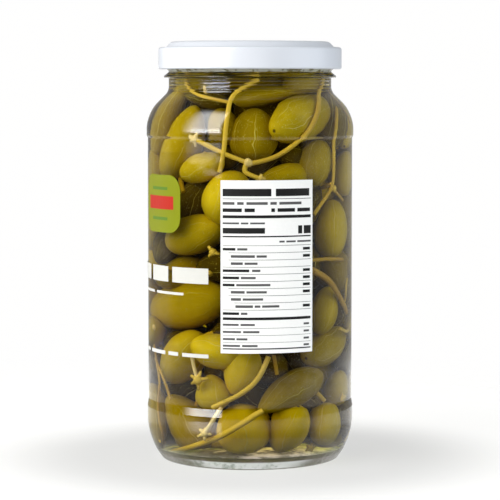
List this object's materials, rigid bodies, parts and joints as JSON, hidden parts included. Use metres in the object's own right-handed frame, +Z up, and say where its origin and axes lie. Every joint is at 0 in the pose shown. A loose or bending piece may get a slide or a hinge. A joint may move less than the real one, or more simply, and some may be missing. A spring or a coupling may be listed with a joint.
{
  "type": "jar of caperberries",
  "caption": "Shut tall glass jar of caperberries in brine, with a white twist-off metal lid and a clear printed label.",
  "frame": {"origin": "middle of the jar's base, on the surface that it stands on", "axes": "+Z up the jar's axis to the lid; -Y towards the middle of the label's right-hand half, the side that the white panel faces"},
  "size_m": [0.0952, 0.0952, 0.1921],
  "materials": {
    "glass": "clear, smooth, faintly green soda-lime glass",
    "contents": null,
    "label_film": null,
    "gasket": "soft off-white sealing compound",
    "lid": "smooth white enamel on thin steel"
  },
  "bodies": {
    "root": {"jar": "glass", "brine": "contents", "label": "label_film", "gasket": "gasket", "lid": "lid"}
  },
  "joints": []
}
